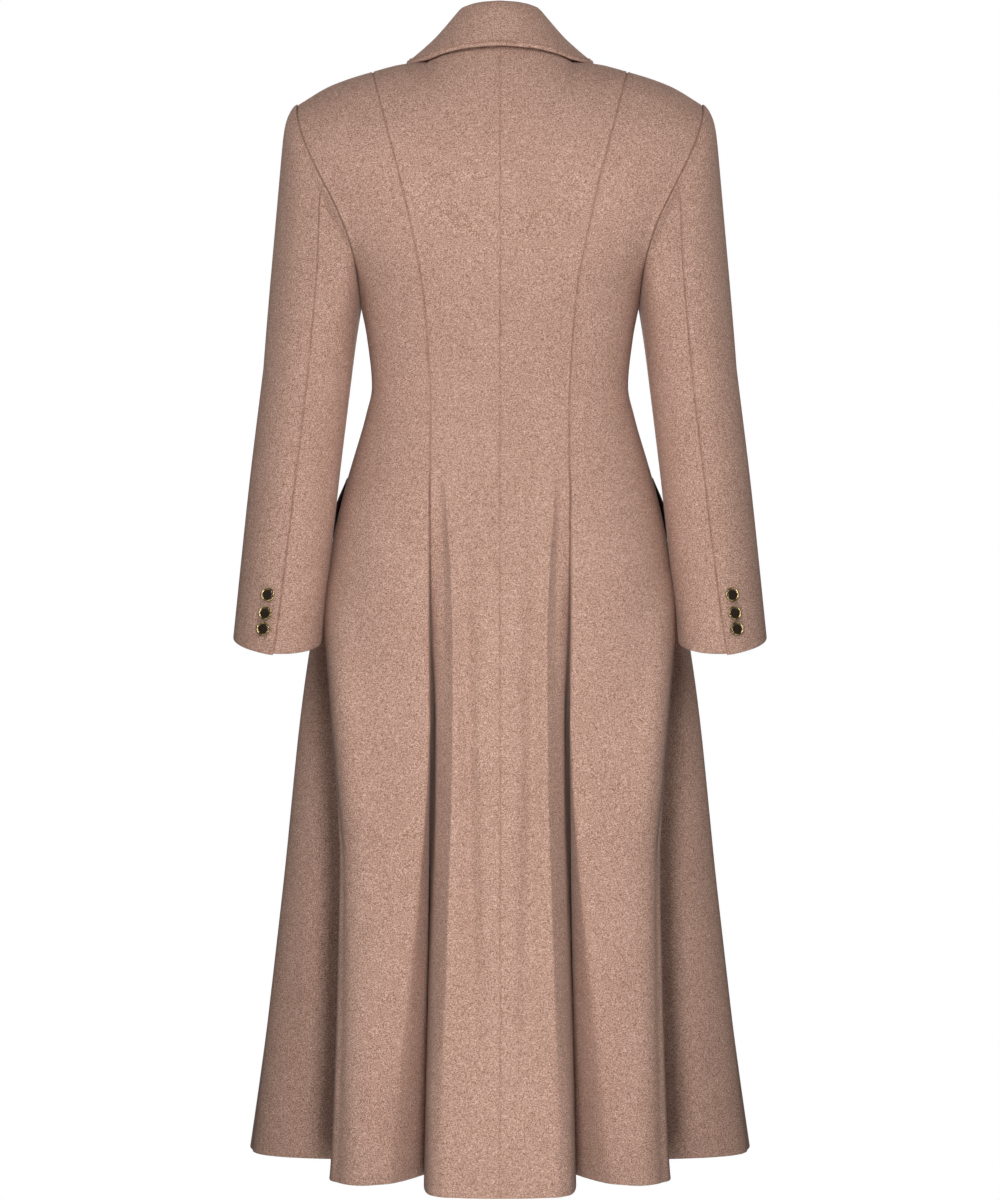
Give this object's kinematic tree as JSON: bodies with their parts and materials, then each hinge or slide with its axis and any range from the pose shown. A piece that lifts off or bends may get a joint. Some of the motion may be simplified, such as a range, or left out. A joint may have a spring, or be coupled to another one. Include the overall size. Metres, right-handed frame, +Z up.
{
  "type": "coat",
  "caption": "Long fitted camel wool coat with set-in sleeves, turned-down collar, pleated flared skirt, hip flaps and antique brass buttons, filled out with no wearer.",
  "frame": {"origin": "at the base of the neck on the centre line, level with the neck ends of the shoulder seams, where the wearer holds the coat up", "axes": "+Z up along the coat's length, +Y out of its back, +X towards the wearer's left sleeve"},
  "size_m": [0.5698, 0.4565, 1.2498],
  "materials": {
    "wool": "heathered rosy camel wool melton, matt, soft nap",
    "dark_cloth": "near-black brown cloth, matt",
    "antique_brass": "dark antique brass, worn bright on the rim"
  },
  "bodies": {
    "root": {"back_left": "wool", "back_right": "wool", "side_back_left": "wool", "side_back_right": "wool", "side_front_left": "wool", "side_front_right": "wool", "front_left": "wool", "front_right": "wool", "top_sleeve_left": "wool", "top_sleeve_right": "wool", "under_sleeve_left": "wool", "under_sleeve_right": "wool", "collar": "wool", "pocket_flap_left": "dark_cloth", "pocket_flap_right": "dark_cloth", "cuff_button_left_1": "antique_brass", "cuff_button_left_2": "antique_brass", "cuff_button_left_3": "antique_brass", "cuff_button_right_1": "antique_brass", "cuff_button_right_2": "antique_brass", "cuff_button_right_3": "antique_brass", "front_button_1": "antique_brass", "front_button_2": "antique_brass", "front_button_3": "antique_brass", "front_button_4": "antique_brass", "front_button_5": "antique_brass"}
  },
  "joints": []
}
